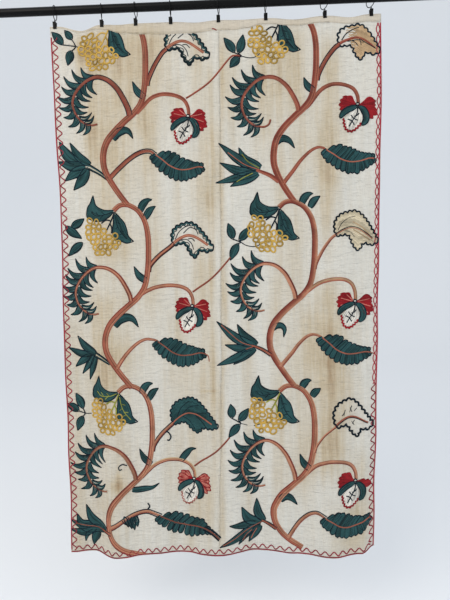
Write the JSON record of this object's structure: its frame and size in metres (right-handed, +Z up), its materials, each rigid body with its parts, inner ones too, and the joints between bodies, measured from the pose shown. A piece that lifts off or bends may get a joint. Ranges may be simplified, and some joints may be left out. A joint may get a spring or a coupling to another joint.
{
  "type": "crewel embroidery panel on a curtain rod with clip rings",
  "caption": "Tall hand-embroidered cloth panel with climbing leafy stems in wool, joined down the middle, with a plain heading held by clip rings on a black curtain rod.",
  "frame": {"origin": "middle of the rod's length, on its centre line, where the brackets hold the rod", "axes": "+X along the rod, +Z up the panel, and the embroidered face looks along -Y"},
  "size_m": [1.5, 0.0431, 1.7688],
  "materials": {
    "rod_enamel": "black enamel, half gloss",
    "ring_wire": "black coated steel wire",
    "clip_wire": "black coated spring wire",
    "clip_steel": "black coated pressed steel",
    "ground_cloth": "cream cotton and linen twill, age stained",
    "heading_cloth": "plain cream cotton",
    "crewel_wool_navy": "two-ply wool in chain stitch",
    "crewel_wool_teal": "two-ply wool in chain stitch",
    "crewel_wool_terracotta": "two-ply wool in chain stitch",
    "crewel_wool_rose_brown": "two-ply wool in chain stitch",
    "crewel_wool_tan": "two-ply wool in chain stitch",
    "crewel_wool_ochre": "two-ply wool in chain stitch",
    "crewel_wool_crimson": "two-ply wool in chain stitch",
    "crewel_wool_pink": "two-ply wool in chain stitch",
    "crewel_wool_olive": "two-ply wool in chain stitch",
    "crewel_wool_cream": "two-ply wool in chain stitch",
    "border_wool_madder": "two-ply wool in chain stitch",
    "sewing_thread": "undyed cotton thread"
  },
  "bodies": {
    "root": {"rod": "rod_enamel", "heading_strip": "heading_cloth", "cloth_left": "ground_cloth", "cloth_right": "ground_cloth", "ring_1": "ring_wire", "ring_2": "ring_wire", "ring_3": "ring_wire", "ring_4": "ring_wire", "ring_5": "ring_wire", "ring_6": "ring_wire", "ring_7": "ring_wire", "ring_8": "ring_wire", "eyelet_1": "ring_wire", "eyelet_2": "ring_wire", "eyelet_3": "ring_wire", "eyelet_4": "ring_wire", "eyelet_5": "ring_wire", "eyelet_6": "ring_wire", "eyelet_7": "ring_wire", "eyelet_8": "ring_wire", "bail_1": "clip_wire", "bail_2": "clip_wire", "bail_3": "clip_wire", "bail_4": "clip_wire", "bail_5": "clip_wire", "bail_6": "clip_wire", "bail_7": "clip_wire", "bail_8": "clip_wire", "spring_1": "clip_wire", "spring_2": "clip_wire", "spring_3": "clip_wire", "spring_4": "clip_wire", "spring_5": "clip_wire", "spring_6": "clip_wire", "spring_7": "clip_wire", "spring_8": "clip_wire", "jaw_front_1": "clip_steel", "jaw_front_2": "clip_steel", "jaw_front_3": "clip_steel", "jaw_front_4": "clip_steel", "jaw_front_5": "clip_steel", "jaw_front_6": "clip_steel", "jaw_front_7": "clip_steel", "jaw_front_8": "clip_steel", "jaw_back_1": "clip_steel", "jaw_back_2": "clip_steel", "jaw_back_3": "clip_steel", "jaw_back_4": "clip_steel", "jaw_back_5": "clip_steel", "jaw_back_6": "clip_steel", "jaw_back_7": "clip_steel", "jaw_back_8": "clip_steel"}
  },
  "joints": []
}
